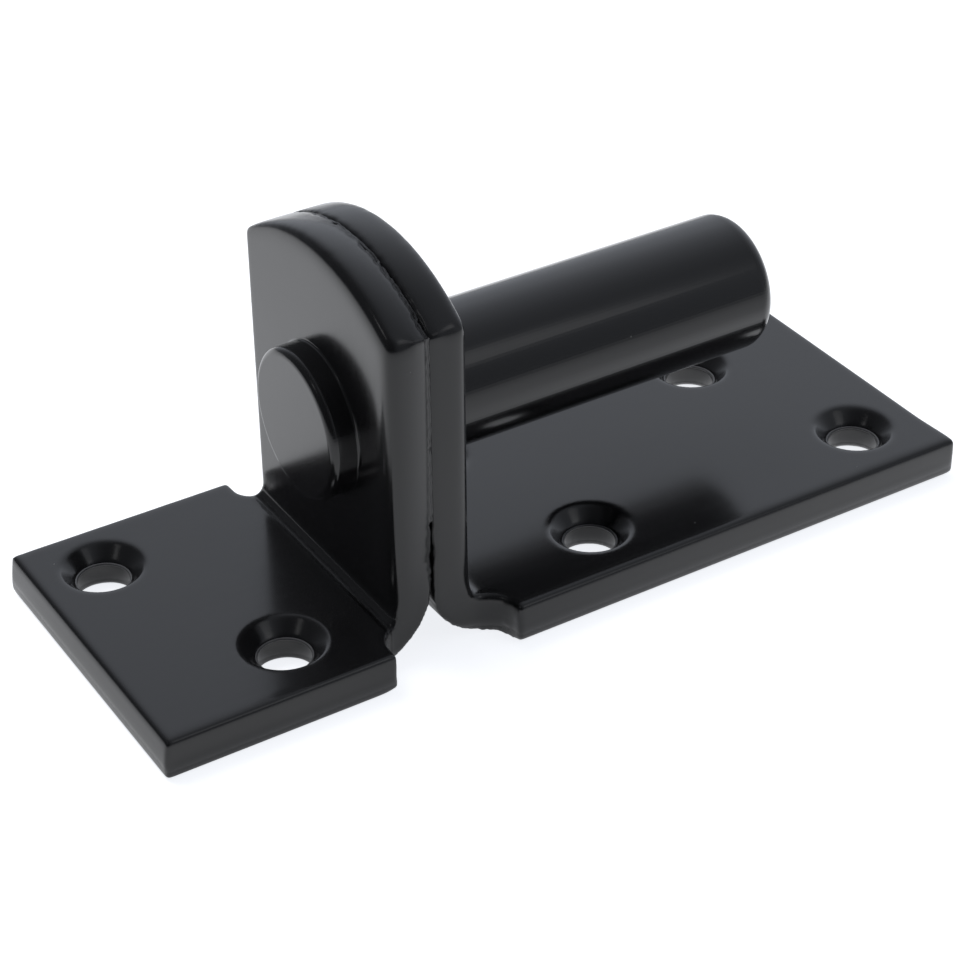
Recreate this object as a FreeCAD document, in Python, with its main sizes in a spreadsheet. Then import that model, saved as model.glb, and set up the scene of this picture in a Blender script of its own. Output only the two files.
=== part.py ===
import FreeCAD, Part
import math
import os
import Sketcher

# Gate hinge pin: two bent steel plates stand back to back, and a round pin goes through both
# upstands. The gate's eye drops over the pin's free end, which runs out above the long plate.
# Millimetres. +X runs from the short plate to the long one, +Z stands up off the plates, and
# the origin is the centre of the footprint, on the underside.

SIZES = {
    # Plates, their lengths measured from the seam where the upstands touch
    "short_length": 34.2,
    "long_length": 69.3,
    "plate_width": 38.6,
    "thickness": 5.0,
    "inner_bend": 1.5,
    "short_outer_bend": 9.2,
    "long_outer_bend": 7.9,
    "edge_roll": 0.6,
    "underside_round": 0.8,
    # Upstands, and how far past the bend the shoulders stand where they widen into the plates
    "short_upstand": 4.6,
    "long_upstand": 4.9,
    "upstand_height": 44.4,
    "arch_radius": 24.8,
    "shoulder_step": 4.1,
    "short_shoulder": 0.8,
    "long_shoulder": 1.9,
    # Countersunk screw holes, placed from each plate's own end and sides
    "screw_hole": 6.5,
    "sink_width": 9.9,
    "sink_angle": 90,
    "hole_break": 0.6,
    "short_outer_end": 8.0,
    "short_outer_side": 7.4,
    "short_inner_end": 18.3,
    "short_inner_side": 8.4,
    "long_near_end": 8.6,
    "long_far_end": 16.7,
    "long_side": 8.4,
    "long_pitch": 37.6,
    # Pin: free length, the slimmer neck through both upstands, and the head closed over it
    "pin_diameter": 16.0,
    "neck_diameter": 12.0,
    "pin_height": 23.4,
    "pin_free": 45.5,
    "pin_end_round": 2.0,
    "neck_clearance": 0.05,
    "head_diameter": 17.1,
    "head_depth": 3.2,
    "head_chamfer": 0.6,
}

START, END, CENTRE = range(1, 4)
ORIGIN = (-1, 1)
X_AXIS, Y_AXIS = range(-1, -3, -1)
HALF_TURN = 180
SAME = 1e-4
PLATE_SIDE = "Sizes.plate_width / 2"
UPSTAND_SIDE = "Sizes.plate_width / 2 - Sizes.shoulder_step"


def size_sheet(doc):
    """The sheet of named sizes that every piece is bound to"""
    sheet = doc.addObject("Spreadsheet::Sheet", "Sizes")
    for row, (name, value) in enumerate(SIZES.items(), start=1):
        sheet.set("A%d" % row, name)
        sheet.set("B%d" % row, str(value))
        sheet.setAlias("B%d" % row, name)
    doc.recompute()


def value(body, expression):
    """What an expression of the sheet's names comes to"""
    return float(body.evalExpression(expression))


def same(first, second):
    return abs(first - second) < SAME


def origin_plane(body, role):
    return next(item for item in body.Origin.OriginFeatures if item.Role == role)


def sketch_on(body, name, role):
    """An empty sketch on one of the body's own origin planes"""
    sketch = body.newObject("Sketcher::SketchObject", name)
    sketch.AttachmentSupport = [(origin_plane(body, role), "")]
    sketch.MapMode = "FlatFace"
    return sketch


def draw_loop(sketch, corners, arcs):
    """A closed outline: straight sides between the corners, and an arc where a side has one"""
    up = FreeCAD.Vector(0, 0, 1)
    for side, first in enumerate(corners):
        second = corners[(side + 1) % len(corners)]
        if side in arcs:
            middle, radius, begin, finish = arcs[side]
            circle = Part.Circle(FreeCAD.Vector(*middle, 0), up, radius)
            sketch.addGeometry(Part.ArcOfCircle(circle, begin, finish))
            continue
        sketch.addGeometry(Part.LineSegment(FreeCAD.Vector(*first, 0), FreeCAD.Vector(*second, 0)))
        upright = same(first[0], second[0])
        sketch.addConstraint(Sketcher.Constraint("Vertical" if upright else "Horizontal", side))


def relate(sketch, kind, *places):
    """The same relation at each of the places"""
    for place in places:
        sketch.addConstraint(Sketcher.Constraint(kind, *place))


def drive(sketch, kind, place, expression):
    """A dimension that follows the sheet"""
    reading = value(sketch, expression)
    index = sketch.addConstraint(Sketcher.Constraint(kind, *place, reading))
    sketch.setExpression("Constraints[%d]" % index, expression)


def finished(feature):
    """The feature, rebuilt and set as the body's tip"""
    body = feature.getParentGeoFeatureGroup()
    body.Tip = feature
    feature.Document.recompute()
    return feature


def cut_through(body, name, sketch):
    """Cuts the outline right through, to the side of its plane that the plate lies on"""
    before = body.Shape.Volume
    pocket = body.newObject("PartDesign::Pocket", name)
    pocket.Profile = sketch
    pocket.Type = "ThroughAll"
    pocket.Reversed = True
    finished(pocket)
    if body.Shape.Volume >= before:
        raise RuntimeError(name + " cuts nothing")
    return pocket


def dress_edges(body, kind, name, test, amount, expression):
    """Fillets or chamfers the edges of the body so far that the test picks out"""
    base = body.Tip
    names = ["Edge%d" % number for number, edge in enumerate(body.Shape.Edges, start=1) if test(edge)]
    dressing = body.newObject("PartDesign::" + kind, name)
    dressing.Base = (base, names)
    dressing.setExpression(amount, expression)
    finished(dressing)


def round_edges(body, name, test, expression):
    dress_edges(body, "Fillet", name, test, "Radius", expression)


def own(which, size):
    """The name of a size that the short and the long plate each have of their own"""
    return "Sizes.%s_%s" % (which, size)


def shoulder_place(which):
    """How far from the seam the plate's full width begins"""
    return "%s + Sizes.inner_bend + %s" % (own(which, "upstand"), own(which, "shoulder"))


def bent_strip(body, which):
    """The strip bent up at the seam: base plate, bend and upstand at one width"""
    length, bend, wall = own(which, "length"), own(which, "outer_bend"), own(which, "upstand")
    reach, thick = value(body, length), value(body, "Sizes.thickness")
    tall, upright = value(body, "Sizes.upstand_height"), value(body, wall)
    inner, outer = value(body, "Sizes.inner_bend"), value(body, bend)
    sketch = sketch_on(body, "BentProfile", "XZ_Plane")
    corners = [
        (reach, 0), (outer, 0), (0, outer), (0, tall), (upright, tall),
        (upright, thick + inner), (upright + inner, thick), (reach, thick),
    ]
    lower_left = (math.pi, 1.5 * math.pi)
    draw_loop(sketch, corners, {
        1: ((outer, outer), outer, *lower_left),
        5: ((upright + inner, thick + inner), inner, *lower_left),
    })
    relate(sketch, "Tangent", (0, END, 1, END), (2, START, 1, START), (4, END, 5, START), (6, START, 5, END))
    relate(sketch, "Coincident", (2, END, 3, START), (3, END, 4, START), (6, END, 7, START), (7, END, 0, START))
    relate(sketch, "PointOnObject", (0, START, X_AXIS), (2, START, Y_AXIS))
    drive(sketch, "Radius", (1,), bend)
    drive(sketch, "Radius", (5,), "Sizes.inner_bend")
    drive(sketch, "DistanceX", (*ORIGIN, 0, START), length)
    drive(sketch, "DistanceX", (*ORIGIN, 3, END), wall)
    drive(sketch, "DistanceY", (*ORIGIN, 3, END), "Sizes.upstand_height")
    drive(sketch, "DistanceY", (*ORIGIN, 6, START), "Sizes.thickness")
    pad = body.newObject("PartDesign::Pad", "BentStrip")
    pad.Profile = sketch
    pad.SideType = "Symmetric"
    pad.setExpression("Length", "Sizes.plate_width")
    finished(pad)


def shoulders(body, which):
    """Narrows the upstand on both sides, with a concave flare down to each shoulder"""
    side, far, back = UPSTAND_SIDE, "Sizes.plate_width", "Sizes.thickness"
    start, past = shoulder_place(which), own(which, "shoulder")
    flare = "min(Sizes.inner_bend + %s; Sizes.shoulder_step - Sizes.edge_roll)" % past
    inside, outside = value(body, side), value(body, far)
    edge, behind, radius = value(body, start), -value(body, back), value(body, flare)
    sketch = sketch_on(body, "ShoulderOutline", "XY_Plane")
    corners = [(behind, inside), (edge - radius, inside), (edge, inside + radius), (edge, outside), (behind, outside)]
    draw_loop(sketch, corners, {1: ((edge - radius, inside + radius), radius, -math.pi / 2, 0)})
    relate(sketch, "Tangent", (0, END, 1, START), (2, START, 1, END))
    relate(sketch, "Coincident", (2, END, 3, START), (3, END, 4, START), (4, END, 0, START))
    drive(sketch, "Radius", (1,), flare)
    drive(sketch, "DistanceX", (*ORIGIN, 2, END), start)
    drive(sketch, "DistanceX", (3, END, *ORIGIN), back)
    drive(sketch, "DistanceY", (*ORIGIN, 0, START), side)
    drive(sketch, "DistanceY", (*ORIGIN, 3, START), far)
    one_side = cut_through(body, "Shoulder", sketch)
    mirror = body.newObject("PartDesign::Mirrored", "BothShoulders")
    mirror.Originals = [one_side]
    mirror.MirrorPlane = (origin_plane(body, "XZ_Plane"), [""])
    finished(mirror)


def arched_top(body):
    """Cuts the upstand's top to one shallow arc from side to side"""
    side, wide = UPSTAND_SIDE, PLATE_SIDE
    crown, clear = "Sizes.upstand_height", "Sizes.upstand_height + Sizes.thickness"
    radius = value(body, "Sizes.arch_radius")
    half, beyond = value(body, side), value(body, wide)
    middle = value(body, crown) - radius
    low, top = middle + math.sqrt(radius ** 2 - half ** 2), value(body, clear)
    lean = math.asin(half / radius)
    sketch = sketch_on(body, "ArchOutline", "YZ_Plane")
    corners = [(half, low), (-half, low), (-beyond, low), (-beyond, top), (beyond, top), (beyond, low)]
    draw_loop(sketch, corners, {0: ((0, middle), radius, math.pi / 2 - lean, math.pi / 2 + lean)})
    relate(sketch, "Coincident", (0, END, 1, START), (1, END, 2, START), (2, END, 3, START),
           (3, END, 4, START), (4, END, 5, START), (5, END, 0, START))
    relate(sketch, "PointOnObject", (0, CENTRE, Y_AXIS))
    drive(sketch, "Radius", (0,), "Sizes.arch_radius")
    drive(sketch, "DistanceY", (*ORIGIN, 0, CENTRE), "Sizes.upstand_height - Sizes.arch_radius")
    drive(sketch, "DistanceX", (*ORIGIN, 0, START), side)
    drive(sketch, "DistanceX", (0, END, *ORIGIN), side)
    drive(sketch, "DistanceX", (2, START, *ORIGIN), wide)
    drive(sketch, "DistanceX", (*ORIGIN, 3, END), wide)
    drive(sketch, "DistanceY", (*ORIGIN, 3, END), clear)
    cut_through(body, "ArchedTop", sketch)


def rolled_edge(body, which):
    """Rounds the edge that stamping rolls over, all round the plate's top and the upstand's face"""
    thick, upright = value(body, "Sizes.thickness"), value(body, own(which, "upstand"))
    inner = value(body, "Sizes.inner_bend")

    def outer_side(face):
        box, surface = face.BoundBox, face.Surface
        if isinstance(surface, Part.Cylinder):
            return same(surface.Radius, inner) and same(abs(surface.Axis.y), 1)
        on_plate = same(box.ZMin, thick) and same(box.ZLength, 0)
        return on_plate or (same(box.XMin, upright) and same(box.XLength, 0))

    def rim(edge):
        faces = body.Shape.ancestorsOfType(edge, Part.Face)
        return [outer_side(face) for face in faces].count(True) == 1

    round_edges(body, "RolledEdge", rim, "Sizes.edge_roll")


def underside_edges(body, which):
    """Rounds the underside's edges along both sides and the end, as far as the shoulders"""
    clear = max(value(body, own(which, "outer_bend")), value(body, shoulder_place(which)))

    def outline(edge):
        return same(edge.BoundBox.ZMax, 0) and edge.BoundBox.XMax > clear + SAME

    round_edges(body, "UndersideEdges", outline, "Sizes.underside_round")


def neck_bore(body):
    """The hole through the upstand that the pin's neck sits in"""
    sketch = sketch_on(body, "BoreOutline", "YZ_Plane")
    radius = "Sizes.neck_diameter / 2 + Sizes.neck_clearance"
    middle = FreeCAD.Vector(0, value(body, "Sizes.pin_height"), 0)
    sketch.addGeometry(Part.Circle(middle, FreeCAD.Vector(0, 0, 1), value(body, radius)))
    relate(sketch, "PointOnObject", (0, CENTRE, Y_AXIS))
    drive(sketch, "Radius", (0,), radius)
    drive(sketch, "DistanceY", (*ORIGIN, 0, CENTRE), "Sizes.pin_height")
    cut_through(body, "NeckBore", sketch)


def screw_holes(body, places):
    """Countersunk holes down through the base plate, at the given distances from the origin"""
    sketch = sketch_on(body, "HoleCentres", "XY_Plane")
    sketch.setExpression("AttachmentOffset.Base.z", "Sizes.thickness")
    for number, (along, across) in enumerate(places):
        middle = FreeCAD.Vector(value(body, along), value(body, across), 0)
        sketch.addGeometry(Part.Circle(middle, FreeCAD.Vector(0, 0, 1), value(body, "Sizes.screw_hole / 2")))
        drive(sketch, "Diameter", (number,), "Sizes.screw_hole")
        drive(sketch, "DistanceX", (*ORIGIN, number, CENTRE), along)
        if middle.y < 0:
            drive(sketch, "DistanceY", (number, CENTRE, *ORIGIN), "-(%s)" % across)
        else:
            drive(sketch, "DistanceY", (*ORIGIN, number, CENTRE), across)
    body.Document.recompute()
    before = body.Shape.Volume
    hole = body.newObject("PartDesign::Hole", "ScrewHoles")
    hole.Profile = sketch
    body.Document.recompute()
    hole.DepthType = "ThroughAll"
    hole.DrillPoint = "Flat"
    hole.HoleCutType = "Countersink"
    hole.setExpression("Diameter", "Sizes.screw_hole")
    hole.setExpression("HoleCutDiameter", "Sizes.sink_width")
    hole.setExpression("HoleCutCountersinkAngle", "Sizes.sink_angle")
    finished(hole)
    if body.Shape.Volume >= before:
        raise RuntimeError("the screw holes cut nothing")
    dress_edges(body, "Chamfer", "HoleBreaks", lambda edge: same(edge.BoundBox.ZMax, 0) and edge.isClosed(),
                "Size", "Sizes.hole_break")


def bent_plate(doc, which, holes):
    """One bracket, drawn with its seam at X = 0 and its plate along +X"""
    body = doc.addObject("PartDesign::Body", which + "_plate")
    body.Label = which + "_plate"
    bent_strip(body, which)
    shoulders(body, which)
    arched_top(body)
    rolled_edge(body, which)
    underside_edges(body, which)
    neck_bore(body)
    screw_holes(body, holes)
    return body


def place_at_seam(body):
    """Sets the body off so that the footprint's middle is the origin"""
    body.setExpression("Placement.Base.x", "(Sizes.short_length - Sizes.long_length) / 2")


def short_plate(doc):
    """The short plate, with a staggered pair of holes, turned to face away from the pin's end"""
    body = bent_plate(doc, "short", [
        ("Sizes.short_length - Sizes.short_outer_end", "-(%s - Sizes.short_outer_side)" % PLATE_SIDE),
        ("Sizes.short_length - Sizes.short_inner_end", "%s - Sizes.short_inner_side" % PLATE_SIDE),
    ])
    body.Placement = FreeCAD.Placement(
        FreeCAD.Vector(), FreeCAD.Rotation(FreeCAD.Vector(0, 0, 1), HALF_TURN))
    place_at_seam(body)
    return body


def long_plate(doc):
    """The long plate, with two rows of holes at one pitch, the far row set back from the near"""
    row = PLATE_SIDE + " - Sizes.long_side"
    near = "Sizes.long_length - Sizes.long_near_end"
    far = "Sizes.long_length - Sizes.long_far_end"
    body = bent_plate(doc, "long", [
        (near, "-(%s)" % row),
        (near + " - Sizes.long_pitch", "-(%s)" % row),
        (far, row),
        (far + " - Sizes.long_pitch", row),
    ])
    place_at_seam(body)
    return body


def hinge_pin(doc):
    """The pin, turned about its own axis: head, neck through both upstands, free length"""
    body = doc.addObject("PartDesign::Body", "hinge_pin")
    body.Label = "hinge_pin"
    under, crest = "Sizes.short_upstand", "Sizes.short_upstand + Sizes.head_depth"
    seat, tip = "Sizes.long_upstand", "Sizes.long_upstand + Sizes.pin_free"
    slim, full = "Sizes.neck_diameter / 2", "Sizes.pin_diameter / 2"
    head = "Sizes.head_diameter / 2"
    back, clamp, stop, reach = -value(body, crest), -value(body, under), value(body, seat), value(body, tip)
    neck, shank, wide = value(body, slim), value(body, full), value(body, head)
    sketch = sketch_on(body, "PinProfile", "XZ_Plane")
    corners = [
        (back, 0), (reach, 0), (reach, shank), (stop, shank), (stop, neck),
        (clamp, neck), (clamp, wide), (back, wide),
    ]
    draw_loop(sketch, corners, {})
    relate(sketch, "Coincident", (0, END, 1, START), (1, END, 2, START), (2, END, 3, START), (3, END, 4, START),
           (4, END, 5, START), (5, END, 6, START), (6, END, 7, START), (7, END, 0, START))
    relate(sketch, "PointOnObject", (0, START, X_AXIS))
    drive(sketch, "DistanceX", (0, START, *ORIGIN), crest)
    drive(sketch, "DistanceX", (*ORIGIN, 0, END), tip)
    drive(sketch, "DistanceX", (*ORIGIN, 3, START), seat)
    drive(sketch, "DistanceX", (5, START, *ORIGIN), under)
    drive(sketch, "DistanceY", (*ORIGIN, 2, START), full)
    drive(sketch, "DistanceY", (*ORIGIN, 4, START), slim)
    drive(sketch, "DistanceY", (*ORIGIN, 6, START), head)
    turned = body.newObject("PartDesign::Revolution", "TurnedPin")
    turned.Profile = sketch
    turned.ReferenceAxis = (sketch, ["H_Axis"])
    finished(turned)

    def circle_at(place, radius):
        return lambda edge: (isinstance(edge.Curve, Part.Circle) and same(edge.Curve.Center.x, place)
                             and same(edge.Curve.Radius, radius))

    round_edges(body, "PinEnd", circle_at(reach, shank), "Sizes.pin_end_round")
    dress_edges(body, "Chamfer", "HeadRim", circle_at(back, wide), "Size", "Sizes.head_chamfer")
    place_at_seam(body)
    body.setExpression("Placement.Base.z", "Sizes.pin_height")
    return body


def export_pieces(doc, bodies):
    """Writes each piece to its own file once every feature and shape is sound"""
    doc.recompute()
    for item in doc.Objects:
        if "Invalid" in item.State or "Error" in item.State:
            raise RuntimeError(item.Name + " did not build")
    for body in bodies:
        if body.Shape.isNull() or not body.Shape.isValid():
            raise RuntimeError(body.Label + " is not a sound solid")
    os.makedirs("parts", exist_ok=True)
    for body in bodies:
        body.Shape.exportStep("parts/%s.step" % body.Label)


def main():
    doc = FreeCAD.newDocument("GateHingePin")
    size_sheet(doc)
    export_pieces(doc, [short_plate(doc), long_plate(doc), hinge_pin(doc)])


main()
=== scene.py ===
# %% [markdown]
# # Gate hinge pin
# A gate hangs on two of these. Two steel plates are bent to an L and stand back to back, a round pin is
# riveted through both upstands, and the whole part is dipped in a thick black coat. The measured solids are
# loaded first as a fixed frame, in metres. Every piece below is made around them and stays where they are.

# %% Load the measured frame
import math

import bmesh
import bpy
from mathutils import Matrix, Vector


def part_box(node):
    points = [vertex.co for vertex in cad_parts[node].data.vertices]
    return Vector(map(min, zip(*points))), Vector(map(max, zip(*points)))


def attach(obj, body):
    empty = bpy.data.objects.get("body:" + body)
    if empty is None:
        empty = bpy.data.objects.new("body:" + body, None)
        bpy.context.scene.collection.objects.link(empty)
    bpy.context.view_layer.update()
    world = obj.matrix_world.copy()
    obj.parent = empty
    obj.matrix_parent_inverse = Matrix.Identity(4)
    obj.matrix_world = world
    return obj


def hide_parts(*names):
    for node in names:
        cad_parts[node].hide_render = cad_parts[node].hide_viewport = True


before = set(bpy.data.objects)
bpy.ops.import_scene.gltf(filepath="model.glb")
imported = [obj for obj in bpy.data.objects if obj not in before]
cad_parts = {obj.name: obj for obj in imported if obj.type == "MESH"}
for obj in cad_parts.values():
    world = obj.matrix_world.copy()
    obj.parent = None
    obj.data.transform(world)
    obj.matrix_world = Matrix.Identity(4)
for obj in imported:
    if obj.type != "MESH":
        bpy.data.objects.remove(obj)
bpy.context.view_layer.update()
BODY = "root"
MM = 0.001
scene = bpy.context.scene
print("nodes:", sorted(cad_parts))

# %% [markdown]
# The two plates meet on one plane, the seam. Its place along the pin is read from the frame, and the other
# places are given in millimetres from there, as a maker would measure them.

# %% Find the seam, the half width and the pin's axis
SEAM_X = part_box("long_plate")[0].x
HALF_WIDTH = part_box("long_plate")[1].y
PIN_LOW, PIN_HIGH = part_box("hinge_pin")
AXIS_Z = (PIN_LOW.z + PIN_HIGH.z) / 2
print("seam, half width and axis:", [round(v / MM, 2) for v in (SEAM_X, HALF_WIDTH, AXIS_Z)], "mm")

# %% Note the plates' own heights and widths
PLATE_TOP = 5 * MM
UPSTAND_SIDE = 15.2 * MM
ARCH_FOOT = 39.2 * MM
SEAM_FOOT = 17.0 * MM


def point(x, y, z):
    """A place given in millimetres from the seam, as a vector of the frame in metres."""
    return Vector((SEAM_X + x * MM, y * MM, z * MM))


print("half an upstand and the arch's foot:", [round(v / MM, 2) for v in (UPSTAND_SIDE, ARCH_FOOT)], "mm")

# %% [markdown]
# The camera stands where the photographer stood: in front, a little to the left, and looking down by a
# third of a right angle. A long lens from under 30 cm keeps the upright edges nearly parallel. The picture
# is a hair higher than it is wide, so the sensor is fitted to its height.

# %% Place the camera
EYE = point(-114.18, -209.28, 174.57)
AIM = point(13.95, -3.39, 9.67)
ROLL = math.radians(-0.491)
LENS_MM = 97.48
SENSOR_MM = 36

camera_data = bpy.data.cameras.new("product_camera")
camera_data.lens = LENS_MM
camera_data.sensor_fit = "VERTICAL"
camera_data.sensor_height = SENSOR_MM
camera_data.clip_start = 0.01
camera = bpy.data.objects.new("product_camera", camera_data)
scene.collection.objects.link(camera)
stand = (AIM - EYE).to_track_quat("-Z", "Y").to_matrix().to_4x4()
stand.translation = EYE
camera.matrix_world = stand
camera.rotation_euler.rotate_axis("Z", ROLL)
scene.camera = camera
scene.view_settings.view_transform = "Standard"
print("camera is", round((AIM - EYE).length / MM, 1), "mm away")


# %% [markdown]
# A node tree is easier to read as a list of steps. Each helper below adds one node and gives back what
# comes out of it. An input may be a number, or another node's output, which is then wired to it.

# %% Helpers that add and wire one node
def add(tree, kind, inputs=None, **options):
    """Adds a node to a tree. inputs maps a socket's name or number to a value or to another node's output."""
    node = tree.nodes.new(kind)
    for name, value in options.items():
        setattr(node, name, value)
    for name, value in (inputs or {}).items():
        socket = node.inputs[name]
        if isinstance(value, bpy.types.NodeSocket):
            tree.links.new(value, socket)
        else:
            socket.default_value = value
    return node


def reckon(tree, operation, a, b=0.0, c=0.0):
    """One step of arithmetic in a tree, as its output."""
    return add(tree, "ShaderNodeMath", {0: a, 1: b, 2: c}, operation=operation).outputs[0]


def product(tree, *values):
    """All the values multiplied."""
    result = values[0]
    for value in values[1:]:
        result = reckon(tree, "MULTIPLY", result, value)
    return result


def ramp(tree, value, start, end, low=0.0, high=1.0, smooth=False):
    """Goes from low to high as the value goes from start to end, and stays there beyond."""
    return add(tree, "ShaderNodeMapRange", {
        "Value": value, "From Min": start, "From Max": end, "To Min": low, "To Max": high,
    }, interpolation_type="SMOOTHSTEP" if smooth else "LINEAR").outputs[0]


# %% Helpers for places and directions in a tree
def combine(tree, x=0.0, y=0.0, z=0.0):
    """A place made of its X, Y and Z."""
    return add(tree, "ShaderNodeCombineXYZ", {0: x, 1: y, 2: z}).outputs[0]


def split(tree, place):
    """The X, Y and Z of a place."""
    return add(tree, "ShaderNodeSeparateXYZ", {0: place}).outputs


def vector(tree, operation, a, b=(0.0, 0.0, 0.0)):
    """One step of vector arithmetic in a tree, as its output."""
    node = add(tree, "ShaderNodeVectorMath", {0: a, 1: b}, operation=operation)
    return node.outputs["Value" if operation in ("LENGTH", "DOT_PRODUCT") else "Vector"]


def lengthen(tree, a, factor):
    """A vector times a number."""
    return add(tree, "ShaderNodeVectorMath", {0: a, "Scale": factor}, operation="SCALE").outputs["Vector"]


print("helpers:", [f.__name__ for f in (add, reckon, product, ramp, combine, split, vector, lengthen)])

# %% [markdown]
# The part lies in a light tent on white paper. A black gloss coat has hardly a colour of its own, so nearly
# all that the eye sees on it is this room: the lit cloth behind it, the dim top of the tent and the white
# paper. The world is that cloth. It is brightest low at the back, darkest behind the camera and dim on the
# left, and it depends only on direction.

# %% Hang the tent's cloth
BACKWARD = (0.529, 0.849, 0.0)
CLOTH = [
    (0.0, 0.14), (0.25, 0.2), (0.34, 0.28), (0.5, 0.23), (0.62, 0.28), (0.8, 0.46), (0.92, 0.6), (1.0, 0.5),
]
COOL = (0.94, 0.99, 1.09)
LEFT_LEVEL = 0.25
LEFT_END, RIGHT_END = -0.4, 0.35

world = bpy.data.worlds.new("light_tent")
scene.world = world
world.use_nodes = True
tent = world.node_tree
tent.nodes.clear()
direction = add(tent, "ShaderNodeTexCoord").outputs["Generated"]
depth = ramp(tent, vector(tent, "DOT_PRODUCT", direction, BACKWARD), -1.0, 1.0)
cloth = add(tent, "ShaderNodeValToRGB", {"Fac": depth})
stops = cloth.color_ramp.elements
while len(stops) < len(CLOTH):
    stops.new(1.0)
for stop, (place, level) in zip(stops, CLOTH):
    stop.position = place
    stop.color = (*(level * part for part in COOL), 1)
strength = ramp(tent, split(tent, direction)["X"], LEFT_END, RIGHT_END, LEFT_LEVEL, 1.0, smooth=True)
shade = add(tent, "ShaderNodeBackground", {"Color": cloth.outputs["Color"], "Strength": strength})
add(tent, "ShaderNodeOutputWorld", {"Surface": shade.outputs[0]})
print("cloth levels:", [level for _, level in CLOTH])


# %% [markdown]
# Three soft boxes stand round the tent. The large one stands close and high behind on the left, and carries
# most of the light: the paper is brightest there and dims towards the front, and the gloss shows this. Its
# face is hidden from mirrored rays, as a photographer flags a lamp off a shiny part, so it puts no glare on
# the coat. The two in front are dim: they are the two soft streaks in each countersink, and the right one
# is the soft stripe along the pin.

# %% Set the soft boxes
def toward(azimuth, elevation, distance):
    """A place seen from the part: degrees round from the front, degrees up, metres away."""
    a, e = math.radians(azimuth), math.radians(elevation)
    return AIM + distance * Vector((math.sin(a) * math.cos(e), -math.cos(a) * math.cos(e), math.sin(e)))


def soft_box(name, place, side, level, mirrored=True):
    """A square area lamp that faces the part. level is how bright its face looks, where 1 is white."""
    data = bpy.data.lights.new(name, "AREA")
    data.shape = "SQUARE"
    data.size = side
    data.energy = level * math.pi * side * side
    lamp = bpy.data.objects.new(name, data)
    lamp.location = place
    lamp.rotation_euler = (AIM - place).to_track_quat("-Z", "Y").to_euler()
    lamp.visible_glossy = mirrored
    scene.collection.objects.link(lamp)
    print(name, "is", side, "m wide")


CAMERA_SIDE = -31.9
key_place = toward(CAMERA_SIDE - 125, elevation=60, distance=0.55)
soft_box("key_box", key_place, side=0.4, level=2.7, mirrored=False)
soft_box("left_box", toward(CAMERA_SIDE - 53, elevation=50, distance=0.8), side=0.14, level=0.75)
soft_box("right_box", toward(CAMERA_SIDE + 61, elevation=44, distance=0.8), side=0.28, level=0.4)

# %% [markdown]
# The paper lies just under the part and keeps its shadow. Its colour is a pale white. The camera gets some
# extra light from it, so that the paper is seen as white without lighting the part more. The gloss coat
# that mirrors the paper gets a painted glow from it as well: a pool of painted light, seen only in mirrored
# rays, which fades with the distance and is greater at the back and on the right.

# %% Choose the paper's levels
SPAN = 1.5
PAPER_DROP = 0.00003
EXTRA_WHITE = 0.85
# painted light: the level of the paper's glow that only mirrored rays see
PAINTED_MIRROR_GLOW = 0.31
FADE_M = 0.25
RIGHT_GAIN = 0.95
BACK_GAIN = 1.5
PAPER_COLOUR = (0.75, 0.75, 0.75, 1)
PAPER_TINT = (0.97, 0.99, 1.03, 1)
print("the paper is", 2 * SPAN, "m wide")

# %% Light the paper, with a painted glow for mirrored rays
paper = bpy.data.materials.new("white_paper")
paper.use_nodes = True
tree = paper.node_tree
path = add(tree, "ShaderNodeLightPath").outputs
place = add(tree, "ShaderNodeTexCoord").outputs["Object"]
spot = split(tree, place)
distance = reckon(tree, "DIVIDE", vector(tree, "LENGTH", place), FADE_M)
fall = reckon(tree, "ADD", reckon(tree, "POWER", distance, 2.0), 1.0)
right = ramp(tree, spot["X"], -20 * MM, 50 * MM, high=RIGHT_GAIN)
near = ramp(tree, spot["Y"], -50 * MM, -28 * MM)
back = ramp(tree, spot["Y"], 5 * MM, 45 * MM, low=1.0, high=BACK_GAIN)
gain = reckon(tree, "MULTIPLY_ADD", right, near, back)
# painted light: a glow in the paper for mirrored rays only, stronger on the right and at the back, fading
# with distance
mirrored = reckon(tree, "DIVIDE", product(tree, path["Is Glossy Ray"], gain, PAINTED_MIRROR_GLOW), fall)
direct = reckon(tree, "MAXIMUM", path["Is Camera Ray"], path["Is Transmission Ray"])
extra = reckon(tree, "MULTIPLY_ADD", direct, EXTRA_WHITE, mirrored)
sheet = tree.nodes["Principled BSDF"]
sheet.inputs["Base Color"].default_value = PAPER_COLOUR
sheet.inputs["Roughness"].default_value = 0.95
sheet.inputs["Specular IOR Level"].default_value = 0.0
sheet.inputs["Emission Color"].default_value = PAPER_TINT
tree.links.new(extra, sheet.inputs["Emission Strength"])
print("paper:", paper.name)

# %% Lay the paper
floor_mesh = bpy.data.meshes.new("paper_floor")
floor_mesh.from_pydata(
    [(x * SPAN, y * SPAN, -PAPER_DROP) for x, y in ((-1, -1), (1, -1), (1, 1), (-1, 1))], [], [(0, 1, 2, 3)]
)
floor_mesh.materials.append(paper)
floor = bpy.data.objects.new("paper_floor", floor_mesh)
scene.collection.objects.link(floor)
print("floor:", floor.name)


# %% [markdown]
# The coat is a thick semi-gloss black. Several small things make it look like a real one, and each is a
# shader node group, so that every material can use it with its own numbers. A group works out only a height
# or a mask, and the material decides what it does.

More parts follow.
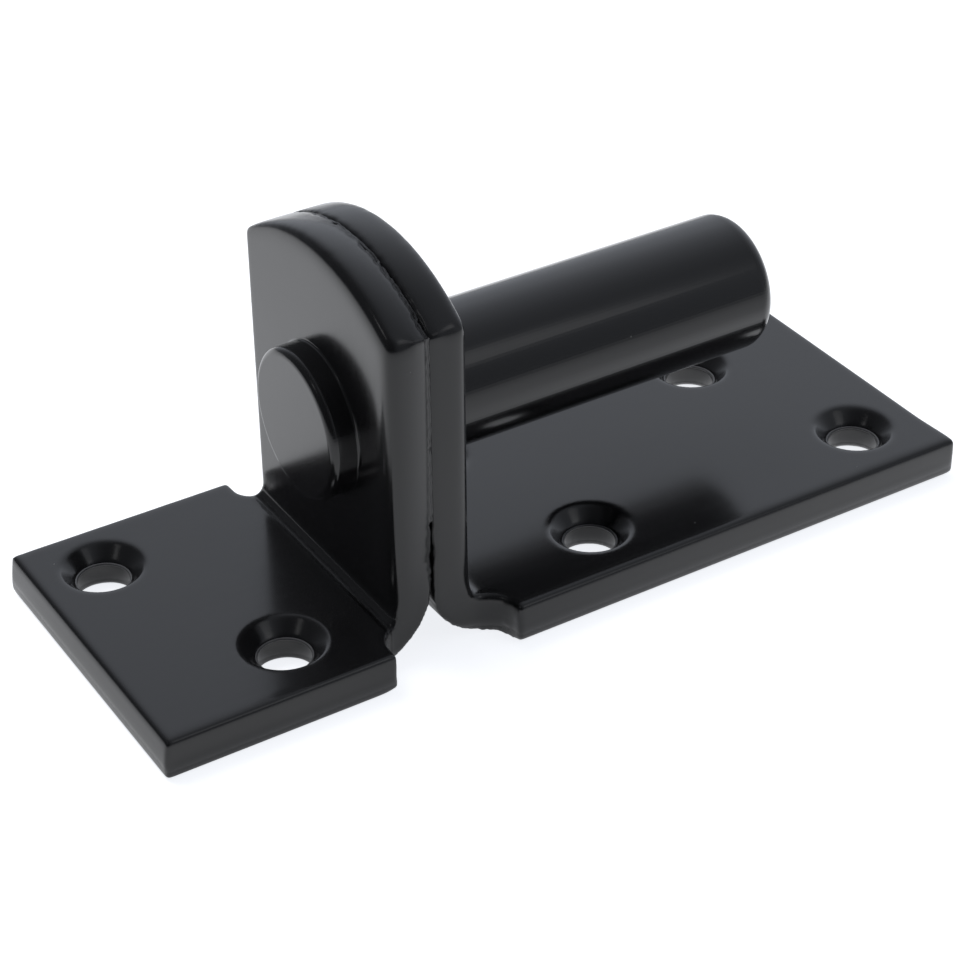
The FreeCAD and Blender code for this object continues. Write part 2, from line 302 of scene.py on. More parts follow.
# %% An empty node group for the coat
def shader_group(name, inputs, output):
    """A shader node group whose inputs are the place on the surface and named sizes, and those inputs."""
    group = bpy.data.node_groups.new(name, "ShaderNodeTree")
    group.interface.new_socket("Place", in_out="INPUT", socket_type="NodeSocketVector")
    for label, value in inputs:
        group.interface.new_socket(label, in_out="INPUT", socket_type="NodeSocketFloat").default_value = value
    group.interface.new_socket(output, in_out="OUTPUT", socket_type="NodeSocketFloat")
    print("group:", name)
    return group, group.nodes.new("NodeGroupInput").outputs


# %% [markdown]
# Orange peel is the fine unevenness of a baked coat. It has a fine part, of the size that is asked for, and
# a broad swell that is some six times as large.

# %% Orange peel
BROAD_SCALE = 0.16
BROAD_SHARE = 2.2

peel, given = shader_group("orange_peel", [("Size mm", 1.4), ("Depth", 1.0)], "Height")
fine = add(peel, "ShaderNodeTexNoise", {
    "Vector": given["Place"], "Scale": reckon(peel, "DIVIDE", 1 / MM, given["Size mm"]), "Detail": 1.0,
}).outputs["Fac"]
broad = add(peel, "ShaderNodeTexNoise", {
    "Vector": given["Place"], "Scale": reckon(peel, "DIVIDE", BROAD_SCALE / MM, given["Size mm"]),
    "Detail": 2.0,
}).outputs["Fac"]
both = reckon(peel, "MULTIPLY_ADD", broad, BROAD_SHARE, fine)
add(peel, "NodeGroupOutput", {"Height": product(peel, both, given["Depth"])})

# %% [markdown]
# Faint streaks run along the part where the steel's drawn grain shows through the coat. A noise that is
# stretched along the part gives them, and a second noise leaves them out in patches.

# %% Drawn streaks
streaks, given = shader_group("drawn_streaks", [("Width mm", 0.5), ("Strength", 1.0)], "Mask")
stretched = add(streaks, "ShaderNodeMapping", {
    "Vector": given["Place"], "Scale": (0.06, 1.0, 0.06),
}, vector_type="POINT").outputs[0]
lines = add(streaks, "ShaderNodeTexNoise", {
    "Vector": stretched, "Scale": reckon(streaks, "DIVIDE", 1 / MM, given["Width mm"]), "Detail": 3.0,
}).outputs["Fac"]
patches = add(streaks, "ShaderNodeTexNoise", {
    "Vector": given["Place"], "Scale": 90.0, "Detail": 2.0,
}).outputs["Fac"]
add(streaks, "NodeGroupOutput", {
    "Mask": product(streaks, ramp(streaks, lines, 0.45, 0.75), patches, given["Strength"]),
})

# %% [markdown]
# The sheared sides of the plates roll in under and over their middle, and the edges of the upstands are
# crowned, so a side mirrors the paper in soft bands. The group gives the height in millimetres. It is
# lowest along the rims.

# %% Rolled sides
SIDE_MIDDLE = 2.2 * MM
EDGE_MIDDLE = 3.5 * MM

rolls, given = shader_group("rolled_sides", [
    ("Under mm", 0.5), ("Over mm", 0.2), ("Crown mm", 0.3),
], "Height")
spot = split(rolls, given["Place"])
under = reckon(rolls, "POWER", ramp(rolls, spot["Z"], SIDE_MIDDLE, 0.0), 2.0)
over = reckon(rolls, "POWER", ramp(rolls, spot["Z"], SIDE_MIDDLE, PLATE_TOP), 2.0)
rolled = reckon(rolls, "MULTIPLY_ADD", over, given["Over mm"], product(rolls, under, given["Under mm"]))
from_seam = reckon(rolls, "ABSOLUTE", reckon(rolls, "SUBTRACT", spot["X"], SEAM_X))
across = reckon(rolls, "ABSOLUTE", reckon(rolls, "MULTIPLY_ADD", from_seam, 1 / EDGE_MIDDLE, -1.0))
crown = reckon(rolls, "POWER", reckon(rolls, "MINIMUM", across, 1.0), 2.0)
crown = product(rolls, crown, ramp(rolls, spot["Z"], 6 * MM, 12 * MM), given["Crown mm"])
add(rolls, "NodeGroupOutput", {"Height": product(rolls, reckon(rolls, "ADD", rolled, crown), -1.0)})

# %% [markdown]
# Along the foot of the short plate's bend the coat has shrunk to a fine, uneven crease. It is a groove on a
# line at a given distance from the seam, and a noise makes the line waver.

# %% The crease in the bend
crease, given = shader_group("bend_crease", [
    ("From seam mm", -6.2), ("Width mm", 0.4), ("Depth mm", 0.07),
], "Height")
spot = split(crease, given["Place"])
ragged = add(crease, "ShaderNodeTexNoise", {
    "Vector": given["Place"], "Scale": 0.8 / MM, "Detail": 2.0,
}).outputs["Fac"]
along = reckon(crease, "SUBTRACT", spot["X"], SEAM_X)
along = reckon(crease, "MULTIPLY_ADD", along, 1 / MM, product(crease, ragged, 0.3))
away = reckon(crease, "ABSOLUTE", reckon(crease, "SUBTRACT", along, given["From seam mm"]))
groove = ramp(crease, away, given["Width mm"], 0.0, smooth=True)
low = ramp(crease, spot["Z"], 7 * MM, 6 * MM)
add(crease, "NodeGroupOutput", {"Height": product(crease, groove, low, given["Depth mm"], -1.0)})

# %% [markdown]
# A few specks of dust lie on the coat. Each cell of a Voronoi pattern may hold one, in its middle, and
# about one cell in five does.

# %% Dust
EMPTY_CELLS = 0.8

dust, given = shader_group("dust_specks", [("Spacing mm", 3.0), ("Speck mm", 0.1)], "Mask")
cells = add(dust, "ShaderNodeTexVoronoi", {
    "Vector": given["Place"], "Scale": reckon(dust, "DIVIDE", 1 / MM, given["Spacing mm"]), "Randomness": 1.0,
})
reach = reckon(dust, "DIVIDE", given["Speck mm"], given["Spacing mm"])
luck = add(dust, "ShaderNodeSeparateColor", {"Color": cells.outputs["Color"]}).outputs[0]
chosen = reckon(dust, "GREATER_THAN", luck, EMPTY_CELLS)
speck = reckon(dust, "LESS_THAN", cells.outputs["Distance"], reach)
add(dust, "NodeGroupOutput", {"Mask": product(dust, chosen, speck)})


# %% [markdown]
# All finishes are the same black coat. The plates were drawn and bent, so they carry the streaks; the pin
# was turned, so its coat is a little smoother. The small rings inside the screw holes are light grey, a
# painted highlight for the light that they catch. The gloss itself is a clear layer over the black, which
# gives the strong reflection at a low angle on the faces that look left.

# %% Mix the coat
BLACK = (0.012, 0.012, 0.013, 1)
# painted highlight: the light grey of the small rings in the screw holes
PAINTED_RING_GREY = (0.11, 0.11, 0.115, 1)
DUST_GREY = (0.16, 0.16, 0.155, 1)
PEEL_MM = 0.004


def black_coat(name, peel_mm, peel_depth, streak, roughness, bent_plate=False, colour=BLACK):
    """A semi-gloss black coat, whose roughness and colour change over the surface."""
    material = bpy.data.materials.new(name)
    material.use_nodes = True
    tree = material.node_tree
    skin = tree.nodes["Principled BSDF"]
    place = add(tree, "ShaderNodeTexCoord").outputs["Object"]

    def effect(group, **values):
        """Places a node group with its own values. It changes over the object's own coordinates."""
        node = tree.nodes.new("ShaderNodeGroup")
        node.node_tree = group
        tree.links.new(place, node.inputs["Place"])
        for key, value in values.items():
            node.inputs[key.replace("_", " ")].default_value = value
        return node.outputs[0]

    height = product(tree, effect(peel, Size_mm=peel_mm, Depth=peel_depth), PEEL_MM)
    lines = effect(streaks, Width_mm=0.45, Strength=streak)
    specks = effect(dust, Spacing_mm=3.2, Speck_mm=0.11)
    if bent_plate:
        height = reckon(tree, "ADD", height, effect(rolls, Under_mm=0.9, Over_mm=0.25, Crown_mm=0.8))
        height = reckon(tree, "ADD", height, effect(crease, From_seam_mm=-5.5, Width_mm=0.45, Depth_mm=0.3))
    bump = add(tree, "ShaderNodeBump", {"Strength": 1.0, "Distance": 1.0 * MM, "Height": height})
    rough = reckon(tree, "MULTIPLY_ADD", lines, 0.16, roughness)
    rough = reckon(tree, "MULTIPLY_ADD", specks, 0.5, rough)
    dusty = add(tree, "ShaderNodeMix", {"Factor": specks, 6: colour, 7: DUST_GREY}, data_type="RGBA")
    tree.links.new(dusty.outputs[2], skin.inputs["Base Color"])
    tree.links.new(rough, skin.inputs["Roughness"])
    tree.links.new(bump.outputs[0], skin.inputs["Normal"])
    skin.inputs["Coat Weight"].default_value = 0.6
    skin.inputs["Coat Roughness"].default_value = 0.14
    return material


plate_coat = black_coat(
    "plate_finish", peel_mm=1.4, peel_depth=1.0, streak=0.5, roughness=0.2, bent_plate=True,
)
pin_coat = black_coat("pin_finish", peel_mm=1.8, peel_depth=0.7, streak=0.2, roughness=0.17)
# painted highlight: the rings' coat is light grey so that they look lit
ring_highlight_coat = black_coat(
    "ring_highlight_finish", peel_mm=0.9, peel_depth=1.0, streak=0.0, roughness=0.3, colour=PAINTED_RING_GREY,
)
print("finishes:", plate_coat.name, pin_coat.name, ring_highlight_coat.name)


# %% [markdown]
# Geometry Nodes trees are built in the script too. Each has named inputs for its sizes, and a modifier's
# inputs are set by the socket's identifier. The result is turned into a plain mesh at the end, with no
# modifier left on it.

# %% Helpers that start and end a Geometry Nodes tree
def recipe(name, inputs):
    """An empty Geometry Nodes tree whose inputs have the given names, kinds and values."""
    tree = bpy.data.node_groups.new(name, "GeometryNodeTree")
    tree.interface.new_socket("Geometry", in_out="OUTPUT", socket_type="NodeSocketGeometry")
    tree.interface.new_socket("Geometry", in_out="INPUT", socket_type="NodeSocketGeometry")
    for label, kind, value in inputs:
        socket = tree.interface.new_socket(label, in_out="INPUT", socket_type="NodeSocket" + kind)
        if value is not None:
            socket.default_value = value
    return tree, tree.nodes.new("NodeGroupInput").outputs


def close_tree(tree, geometry, finish, smooth=True):
    """Ends a tree: smooth faces where asked for, real meshes and one material."""
    if smooth:
        geometry = add(tree, "GeometryNodeSetShadeSmooth", {
            "Geometry": geometry, "Shade Smooth": True,
        }).outputs[0]
    geometry = add(tree, "GeometryNodeRealizeInstances", {"Geometry": geometry}).outputs[0]
    geometry = add(tree, "GeometryNodeSetMaterial", {"Geometry": geometry, "Material": finish}).outputs[0]
    add(tree, "NodeGroupOutput", {"Geometry": geometry})
    print("tree:", tree.name, "with", len(tree.nodes), "nodes")


# %% Helpers that turn a tree into a piece
def linked(name, mesh):
    """A mesh as an object of the scene."""
    thing = bpy.data.objects.new(name, mesh)
    scene.collection.objects.link(thing)
    return thing


def follow(piece, tree, **values):
    """Puts a tree on a piece as a modifier and sets its inputs by their identifiers."""
    modifier = piece.modifiers.new(tree.name, "NODES")
    modifier.node_group = tree
    names = {item.name: item.identifier for item in tree.interface.items_tree if item.in_out == "INPUT"}
    for label, value in values.items():
        modifier[names[label.replace("_", " ")]] = value


def made(name, rough_piece, finish, nodes=()):
    """Turns a piece with modifiers into a plain mesh piece, which stands for the named CAD nodes."""
    graph = bpy.context.evaluated_depsgraph_get()
    mesh = bpy.data.meshes.new_from_object(rough_piece.evaluated_get(graph))
    mesh.name = name
    bpy.data.objects.remove(rough_piece)
    mesh.materials.clear()
    mesh.materials.append(finish)
    piece = linked(name, mesh)
    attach(piece, BODY)
    if nodes:
        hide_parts(*nodes)
    mesh.calc_loop_triangles()
    print(name, "has", len(mesh.loop_triangles), "triangles")
    return piece


# %% [markdown]
# The pin is a turned part, so one rule gives its whole shape: a profile, drawn from the free end to the
# head, goes round an axis. In the tree the profile is a row of points, made of straight runs and quarter
# rounds. A flat grid has one row of corners for each point of the profile, and every corner takes its
# point's distance along the axis and from it. The coat has gathered in the corner at the head and at the
# root of the pin, so the profile has a small hollow fillet at both.

# %% Draw runs and rounds
lathe, size = recipe("turned_pin", [
    ("Tip", "Float", 0.05), ("Root", "Float", 0.005), ("Seat", "Float", -0.0046), ("Top", "Float", -0.0078),
    ("Pin Radius", "Float", 0.008), ("Neck Radius", "Float", 0.006), ("Head Radius", "Float", 0.0086),
    ("End Round", "Float", 0.002), ("Head Round", "Float", 0.0006), ("Coat Fillet", "Float", 0.0003),
    ("Axis Height", "Float", 0.0234), ("Sides", "Int", 144), ("Finish", "Material", None),
])
ROUND_POINTS = 12


def less(a, b):
    return reckon(lathe, "SUBTRACT", a, b)


def plus(a, b):
    return reckon(lathe, "ADD", a, b)


def run(start, end, count):
    """A straight run of the profile, between two places given along the axis and from it."""
    return add(lathe, "GeometryNodeMeshLine", {
        "Count": count, "Start Location": combine(lathe, *start), "Offset": combine(lathe, *end),
    }, mode="END_POINTS").outputs[0]


def quarter(x, r, radius, start, turn):
    """A quarter round of the profile about x, r: degrees at its start, and the way it turns."""
    row = add(lathe, "GeometryNodeMeshLine", {"Count": ROUND_POINTS}, mode="OFFSET").outputs[0]
    step = math.radians(turn * 90) / (ROUND_POINTS - 1)
    number = add(lathe, "GeometryNodeInputIndex").outputs[0]
    angle = reckon(lathe, "MULTIPLY_ADD", number, step, math.radians(start))
    along = reckon(lathe, "MULTIPLY_ADD", reckon(lathe, "COSINE", angle), radius, x)
    out = reckon(lathe, "MULTIPLY_ADD", reckon(lathe, "SINE", angle), radius, r)
    return add(lathe, "GeometryNodeSetPosition", {
        "Geometry": row, "Position": combine(lathe, along, out),
    }).outputs[0]


print("a quarter round has", ROUND_POINTS, "points")

# %% Draw the pin's profile
tip, root, seat, top = size["Tip"], size["Root"], size["Seat"], size["Top"]
pin_r, neck_r, head_r = size["Pin Radius"], size["Neck Radius"], size["Head Radius"]
end_round, head_round, fillet = size["End Round"], size["Head Round"], size["Coat Fillet"]
runs = [
    run((tip, 0.0), (tip, less(pin_r, end_round)), 8),
    quarter(less(tip, end_round), less(pin_r, end_round), end_round, 0, 1),
    run((less(tip, end_round), pin_r), (plus(root, fillet), pin_r), 48),
    quarter(plus(root, fillet), plus(pin_r, fillet), fillet, -90, -1),
    run((root, plus(pin_r, fillet)), (root, neck_r), 4),
    run((root, neck_r), (seat, neck_r), 6),
    run((seat, neck_r), (seat, plus(head_r, fillet)), 4),
    quarter(less(seat, fillet), plus(head_r, fillet), fillet, 0, -1),
    run((less(seat, fillet), head_r), (plus(top, head_round), head_r), 6),
    quarter(plus(top, head_round), less(head_r, head_round), head_round, 90, 1),
    run((top, less(head_r, head_round)), (top, 0.0), 8),
]
print("profile of", len(runs), "runs")

# %% Turn the profile round the axis
joined = add(lathe, "GeometryNodeJoinGeometry")
for part in reversed(runs):
    lathe.links.new(part, joined.inputs[0])
profile = joined.outputs[0]
points = add(lathe, "GeometryNodeAttributeDomainSize", {"Geometry": profile}).outputs["Point Count"]
across = reckon(lathe, "ADD", size["Sides"], 1)
grid = add(lathe, "GeometryNodeMeshGrid", {"Vertices X": points, "Vertices Y": across}).outputs["Mesh"]
index = add(lathe, "GeometryNodeInputIndex").outputs[0]
row = reckon(lathe, "FLOOR", reckon(lathe, "DIVIDE", reckon(lathe, "ADD", index, 0.5), across))
column = reckon(lathe, "SUBTRACT", index, product(lathe, row, across))
sample = add(lathe, "GeometryNodeSampleIndex", {
    "Geometry": profile, "Value": add(lathe, "GeometryNodeInputPosition").outputs[0], "Index": row,
}, data_type="FLOAT_VECTOR").outputs[0]
taken = split(lathe, sample)
turn = reckon(lathe, "DIVIDE", product(lathe, column, math.tau), size["Sides"])
wrapped = combine(
    lathe,
    reckon(lathe, "ADD", taken["X"], SEAM_X),
    product(lathe, taken["Y"], reckon(lathe, "COSINE", turn)),
    reckon(lathe, "MULTIPLY_ADD", taken["Y"], reckon(lathe, "SINE", turn), size["Axis Height"]),
)
solid = add(lathe, "GeometryNodeSetPosition", {"Geometry": grid, "Position": wrapped}).outputs[0]
print("the profile goes round the pin's axis")

# %% Close the pin and keep its crisp edges
CRISP_DEGREES = 40

solid = add(lathe, "GeometryNodeMergeByDistance", {"Geometry": solid, "Distance": 0.000001}).outputs[0]
fold = add(lathe, "GeometryNodeInputMeshEdgeAngle").outputs["Unsigned Angle"]
crisp = reckon(lathe, "GREATER_THAN", fold, math.radians(CRISP_DEGREES))
solid = add(lathe, "GeometryNodeSetShadeSmooth", {
    "Geometry": solid, "Selection": crisp, "Shade Smooth": False,
}, domain="EDGE").outputs[0]
close_tree(lathe, solid, size["Finish"], smooth=False)

# %% Make the pin
blank = linked("pin_blank", bpy.data.meshes.new("pin_blank"))
HEAD_RADIUS = (PIN_HIGH.z - PIN_LOW.z) / 2
follow(
    blank, lathe,
    Tip=PIN_HIGH.x - SEAM_X, Root=4.9 * MM, Seat=-4.6 * MM, Top=PIN_LOW.x - SEAM_X,
    Pin_Radius=8.0 * MM, Neck_Radius=6.0 * MM, Head_Radius=HEAD_RADIUS,
    End_Round=2.0 * MM, Head_Round=0.85 * MM, Coat_Fillet=0.3 * MM,
    Axis_Height=AXIS_Z, Finish=pin_coat,
)
pin = made("turned_pin", blank, pin_coat, ["hinge_pin"])


# %% [markdown]
# The plates keep the measured shape, which is right, but a thick coat never has a sharp corner. A copy of
# each plate is merged and wrapped in an even skin of small faces, which rounds every edge as the coat does.
# A second tree then lets the skin settle and adds what the photograph shows: a torn, uneven line where the
# plates meet, lumps on the outside of the bend, slightly closed screw holes, and a slight waviness on the
# sheared edges.

# %% A tree for the coat's skin
settle, size = recipe("settled_coat", [
    ("Settling", "Int", 2), ("Edge Settling", "Int", 18), ("Wave Height", "Float", 0.00002),
    ("Tear Depth", "Float", 0.00012), ("Lump Height", "Float", 0.00018), ("Edge Waver", "Float", 0.00006),
    ("End X", "Float", 0.05), ("End Lean", "Float", 0.0003), ("Ear", "Float", 0.0), ("Side", "Float", 1.0),
    ("Low Corner", "Vector", None), ("High Corner", "Vector", None), ("Hole Coat", "Float", 0.00018),
    ("Hole 1", "Vector", None), ("Hole 2", "Vector", None), ("Hole 3", "Vector", None),
    ("Hole 4", "Vector", None),
    ("Seed", "Int", 3), ("Finish", "Material", None),
])


def noise(scale_mm, stretch=None, detail=1.0):
    """A noise over the surface with features of about that many millimetres, from 0 to 1."""
    place = add(settle, "GeometryNodeInputPosition").outputs[0]
    if stretch:
        place = vector(settle, "MULTIPLY", place, stretch)
    return add(settle, "ShaderNodeTexNoise", {
        "Vector": place, "W": size["Seed"], "Scale": 1 / (scale_mm * MM), "Detail": detail,
    }, noise_dimensions="4D").outputs["Fac"]


def fade(value, none_at, full_at):
    """A mask that goes from 0 to 1 as the value goes from one number to the other."""
    return ramp(settle, value, none_at, full_at, smooth=True)


def settled(skin, rounds, weight):
    """The skin with every point drawn to the middle of its neighbours, that many times."""
    calm = add(settle, "GeometryNodeBlurAttribute", {
        "Value": add(settle, "GeometryNodeInputPosition").outputs[0], "Iterations": rounds, "Weight": weight,
    }, data_type="FLOAT_VECTOR").outputs[0]
    return add(settle, "GeometryNodeSetPosition", {"Geometry": skin, "Position": calm}).outputs[0]


here = add(settle, "GeometryNodeInputPosition").outputs[0]
parts = split(settle, here)
from_seam = reckon(settle, "ABSOLUTE", reckon(settle, "SUBTRACT", parts["X"], SEAM_X))
from_middle = reckon(settle, "ABSOLUTE", parts["Y"])
print("skin tree starts with", len(settle.nodes), "nodes")

# %% [markdown]
# At each screw hole the coat stands in from the wall, so the points near a hole slide a little towards its
# axis. They settle less than the rest, which keeps the rim of the countersink as sharp as it is.

# %% Find the screw holes
HOLE_CALM = 0.8

flat = combine(settle, parts["X"], parts["Y"])
at_hole, closing = 0.0, (0.0, 0.0, 0.0)
for number in range(1, 5):
    inwards = vector(settle, "SUBTRACT", size["Hole %d" % number], flat)
    mask = fade(vector(settle, "LENGTH", inwards), 7 * MM, 5 * MM)
    step = lengthen(settle, vector(settle, "NORMALIZE", inwards), product(settle, mask, size["Hole Coat"]))
    closing = vector(settle, "ADD", step, closing)
    at_hole = reckon(settle, "ADD", mask, at_hole)
print("four holes are looked for")

# %% Let the skin settle
upright = product(
    settle, fade(parts["Z"], 6 * MM, 10 * MM), fade(from_seam, 1.5 * MM, 3 * MM),
    fade(parts["Y"], 15 * MM, 2 * MM),
)
skin = settle.nodes["Group Input"].outputs["Geometry"]
skin = settled(skin, size["Settling"], reckon(settle, "MULTIPLY_ADD", at_hole, -HOLE_CALM, 1.0))
skin = settled(skin, size["Edge Settling"], upright)
print("the skin settles twice: all over, and on the nearer edges of the upstands")

# %% [markdown]
# The other changes push the skin in or out along its normal by a fraction of a millimetre, each only in its
# own place, which is a product of fades. Where two masks meet, the push is their sum.

# %% Tear, lump and wave the skin
normal = add(settle, "GeometryNodeInputNormal").outputs[0]
sideways = reckon(settle, "ABSOLUTE", split(settle, normal)["Y"])
on_arch = product(settle, fade(parts["Z"], ARCH_FOOT - 1 * MM, ARCH_FOOT), 0.7)
open_zone = reckon(settle, "MAXIMUM", on_arch, fade(parts["Z"], 19 * MM, 16 * MM))
torn = fade(noise(0.9, detail=2.0), 0.35, 0.7)
tear = product(settle, fade(from_seam, 0.8 * MM, 0.1 * MM), open_zone, torn, size["Tear Depth"])
bent = product(
    settle, fade(from_seam, 9 * MM, 6 * MM), fade(parts["Z"], 4 * MM, 2 * MM), fade(sideways, 0.8, 0.5),
    fade(from_middle, UPSTAND_SIDE - 3 * MM, UPSTAND_SIDE - 1 * MM),
)
lumps = product(settle, bent, fade(noise(0.9), 0.4, 0.6), size["Lump Height"])
rolled = product(
    settle, fade(from_middle, HALF_WIDTH - 1.6 * MM, HALF_WIDTH - 0.4 * MM),
    fade(parts["Z"], 3.0 * MM, 4.2 * MM),
)
waver = product(settle, rolled, noise(3.0, stretch=(1.0, 0.3, 0.3)), size["Edge Waver"])
waves = product(settle, reckon(settle, "SUBTRACT", noise(9.0), 0.5), size["Wave Height"])
inward = reckon(settle, "ADD", reckon(settle, "ADD", tear, lumps), reckon(settle, "SUBTRACT", waver, waves))
push = lengthen(settle, normal, product(settle, inward, -1.0))
print("the skin is pushed along its normals")

# %% [markdown]
# The sheared ends of the plates lean in at the top, apart from the ear at the long plate's near corner. The
# torn seam opens sideways as well as inwards. No point may leave the box of the measured plate.

# %% Lean the ends and keep the skin in its box
from_end = reckon(settle, "ABSOLUTE", reckon(settle, "SUBTRACT", parts["X"], size["End X"]))
ear = product(settle, fade(parts["Y"], 7 * MM - HALF_WIDTH, -HALF_WIDTH), size["Ear"])
lean = product(
    settle, fade(from_end, 4 * MM, 0.0), fade(parts["Z"], 1.2 * MM, PLATE_TOP),
    reckon(settle, "SUBTRACT", 1.0, ear), size["End Lean"],
)
sidestep = reckon(settle, "SUBTRACT", product(settle, tear, 0.6), lean)
apart = combine(settle, product(settle, sidestep, size["Side"]))
moved = here
for move in (push, apart, closing):
    moved = vector(settle, "ADD", moved, move)
kept = vector(settle, "MAXIMUM", moved, size["Low Corner"])
kept = vector(settle, "MINIMUM", kept, size["High Corner"])
skin = add(settle, "GeometryNodeSetPosition", {"Geometry": skin, "Position": kept}).outputs[0]
close_tree(settle, skin, size["Finish"])

# %% [markdown]
# The holes are given in millimetres from the seam and from the middle. A plate with fewer than four holes
# gets the rest of them far away, where they change nothing.

# %% Note the screw holes
SHORT_HOLES = [(-26.2, 11.9), (-15.9, -10.9)]
LONG_HOLES = [(60.7, -10.9), (23.1, -10.9), (52.6, 10.9), (15.0, 10.9)]
FAR_OFF = (900.0, 900.0)


def hole_places(holes):
    """The holes as named values for a tree's inputs."""
    return {"Hole_%d" % (n + 1): point(*place, 0) for n, place in enumerate(holes)}


print(len(SHORT_HOLES) + len(LONG_HOLES), "screw holes")


# %% Coat the plates
def coated(name, node, skin_mm, side, ear, edge_rounds, holes):
    """A copy of a CAD plate, merged, wrapped in an even skin of faces of that size, and settled."""
    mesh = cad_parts[node].data.copy()
    work = bmesh.new()
    work.from_mesh(mesh)
    bmesh.ops.remove_doubles(work, verts=work.verts, dist=0.001 * MM)
    work.to_mesh(mesh)
    work.free()
    mesh.materials.clear()
    rough = linked(name + "_rough", mesh)
    wrap = rough.modifiers.new("skin", "REMESH")
    wrap.mode = "VOXEL"
    wrap.voxel_size = skin_mm * MM
    wrap.use_smooth_shade = True
    low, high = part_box(node)
    follow(
        rough, settle, Edge_Settling=edge_rounds, Side=side, End_X=high.x if side > 0 else low.x, Ear=ear,
        Low_Corner=low, High_Corner=high, Finish=plate_coat,
        **hole_places(holes + [FAR_OFF] * (4 - len(holes))),
    )
    return made(name, rough, plate_coat, [node])


short_plate = coated(
    "short_plate_coated", "short_plate", skin_mm=0.27, side=-1.0, ear=0.0, edge_rounds=45, holes=SHORT_HOLES,
)
long_plate = coated(
    "long_plate_coated", "long_plate", skin_mm=0.32, side=1.0, ear=1.0, edge_rounds=14, holes=LONG_HOLES,
)

# %% [markdown]
# Up the sides of the two upstands and over their arch the coat has bridged the joint, and only an uneven
# line is left of it. A thin bead fills the groove there: a tree sweeps a small circle along the outline of
# the joint, two upright lines and the arc between them, and lets its place waver.

# %% A tree for the bead
bead, size = recipe("coat_bead", [
    ("Foot", "Float", 0.017), ("Arch Foot", "Float", 0.0392), ("Side", "Float", 0.0152),
    ("Arch Radius", "Float", 0.0248), ("Arch Middle", "Float", 0.0196), ("Side Thickness", "Float", 0.00055),
    ("Arch Thickness", "Float", 0.0002), ("Arch Depth", "Float", 0.00013), ("Side Waver", "Float", 0.0007),
    ("Arch Waver", "Float", 0.0007), ("Side Shift", "Float", -0.0001), ("Seed", "Int", 5),
    ("Finish", "Material", None),
])
WAVER_MM = 0.9


def sweep(line, count, thickness, waver):
    """A bead of that thickness along a line, wavering about it."""
    line = add(bead, "GeometryNodeResampleCurve", {"Curve": line, "Count": count}).outputs[0]
    texture = add(bead, "ShaderNodeTexNoise", {
        "W": size["Seed"], "Scale": 1 / (WAVER_MM * MM), "Detail": 2.0,
    }, noise_dimensions="4D")
    off = vector(bead, "SUBTRACT", texture.outputs["Color"], (0.5, 0.5, 0.5))
    off = lengthen(bead, vector(bead, "MULTIPLY", off, (1.0, 0.3, 0.3)), waver)
    line = add(bead, "GeometryNodeSetPosition", {"Geometry": line, "Offset": off}).outputs[0]
    ring = add(bead, "GeometryNodeCurvePrimitiveCircle", {"Resolution": 14, "Radius": thickness}).outputs[0]
    return add(bead, "GeometryNodeCurveToMesh", {
        "Curve": line, "Profile Curve": ring, "Fill Caps": True,
    }).outputs[0]


beads = add(bead, "GeometryNodeJoinGeometry")
print("a bead wavers every", WAVER_MM, "mm or so")

# %% Sweep the two sides
depth = reckon(bead, "SUBTRACT", size["Side"], size["Side Thickness"])
bead_x = reckon(bead, "ADD", size["Side Shift"], SEAM_X)
for way in (-1.0, 1.0):
    y = product(bead, depth, way)
    line = add(bead, "GeometryNodeCurvePrimitiveLine", {
        "Start": combine(bead, bead_x, y, size["Foot"]), "End": combine(bead, bead_x, y, size["Arch Foot"]),
    }).outputs[0]
    bead.links.new(sweep(line, 150, size["Side Thickness"], size["Side Waver"]), beads.inputs[0])
print("two side beads")

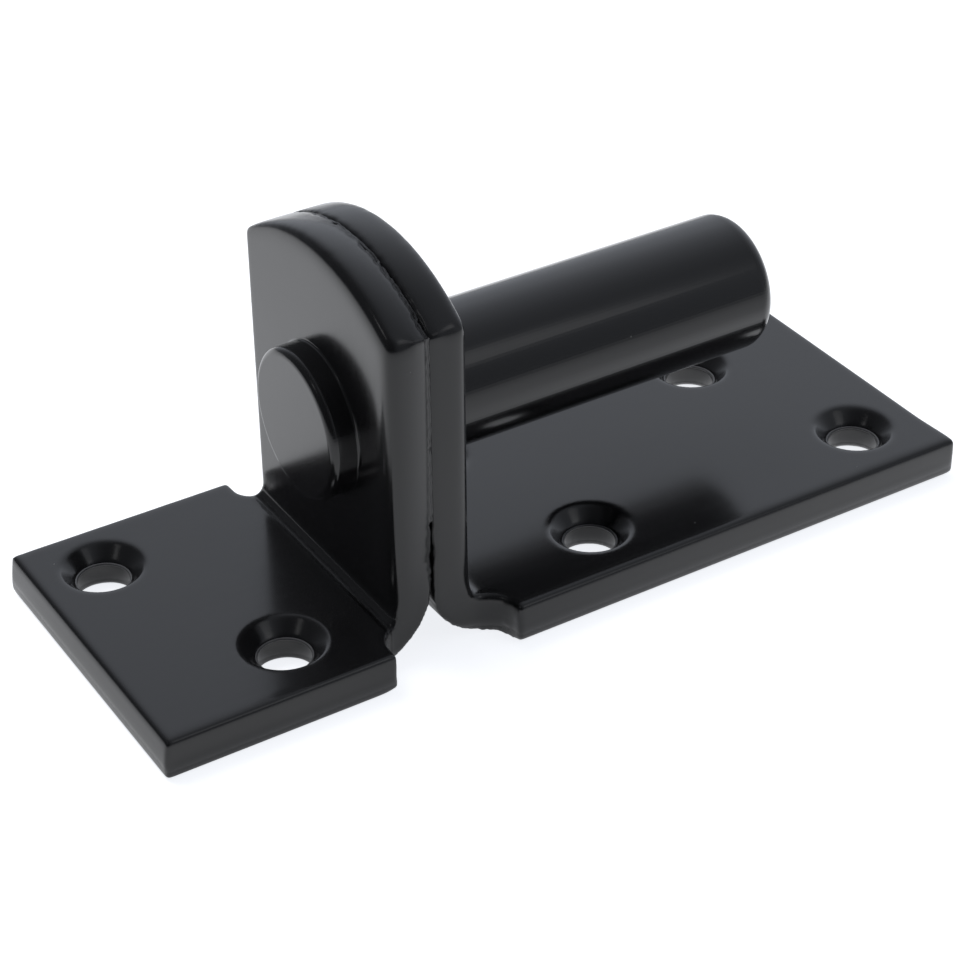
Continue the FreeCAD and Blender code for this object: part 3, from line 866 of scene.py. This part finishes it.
# %% Sweep the arch
half = reckon(bead, "ARCSINE", reckon(bead, "DIVIDE", size["Side"], size["Arch Radius"]))
radius = reckon(bead, "SUBTRACT", size["Arch Radius"], size["Arch Thickness"])
arc = add(bead, "GeometryNodeCurveArc", {
    "Resolution": 90, "Radius": reckon(bead, "SUBTRACT", radius, size["Arch Depth"]),
    "Start Angle": reckon(bead, "SUBTRACT", math.pi / 2, half), "Sweep Angle": product(bead, half, 2.0),
}).outputs[0]
arc = add(bead, "GeometryNodeTransform", {
    "Geometry": arc, "Translation": combine(bead, SEAM_X, 0.0, size["Arch Middle"]),
    "Rotation": (math.pi / 2, 0.0, math.pi / 2),
}).outputs[0]
bead.links.new(sweep(arc, 220, size["Arch Thickness"], size["Arch Waver"]), beads.inputs[0])
close_tree(bead, beads.outputs[0], size["Finish"])

# %% Lay the bead
blank = linked("bead_blank", bpy.data.meshes.new("bead_blank"))
follow(blank, bead, Foot=SEAM_FOOT, Side=UPSTAND_SIDE, Arch_Foot=ARCH_FOOT, Finish=plate_coat)
seam_bead = made("seam_bead", blank, plate_coat)

# %% [markdown]
# In each screw hole a fine ring at the foot of the countersink catches the light: it is a real small ridge,
# and its light grey colour is a painted highlight. A small tree sweeps one ring, and a copy of it lies in
# every hole.

# %% A tree for the rings
rings, size = recipe("hole_rings", [
    ("Radius", "Float", 0.0032), ("Height", "Float", 0.0032), ("Thickness", "Float", 0.00014),
    ("Hole 1", "Vector", None), ("Hole 2", "Vector", None), ("Hole 3", "Vector", None),
    ("Hole 4", "Vector", None),
    ("Hole 5", "Vector", None), ("Hole 6", "Vector", None), ("Finish", "Material", None),
])
all_rings = add(rings, "GeometryNodeJoinGeometry")
wire = add(rings, "GeometryNodeCurvePrimitiveCircle", {
    "Resolution": 12, "Radius": size["Thickness"],
}).outputs[0]
circle = add(rings, "GeometryNodeCurvePrimitiveCircle", {
    "Resolution": 72, "Radius": size["Radius"],
}).outputs[0]
ring = add(rings, "GeometryNodeCurveToMesh", {"Curve": circle, "Profile Curve": wire}).outputs[0]
lift = combine(rings, z=size["Height"])
for number in range(1, 7):
    spot = vector(rings, "ADD", size["Hole %d" % number], lift)
    one = add(rings, "GeometryNodeTransform", {"Geometry": ring, "Translation": spot}).outputs[0]
    rings.links.new(one, all_rings.inputs[0])
close_tree(rings, all_rings.outputs[0], size["Finish"])

# %% Lay the rings
blank = linked("ring_blank", bpy.data.meshes.new("ring_blank"))
follow(
    blank, rings, Radius=3.06 * MM, Height=3.05 * MM, Thickness=0.17 * MM, Finish=ring_highlight_coat,
    **hole_places(SHORT_HOLES + LONG_HOLES),
)
hole_rings = made("hole_rings", blank, ring_highlight_coat)
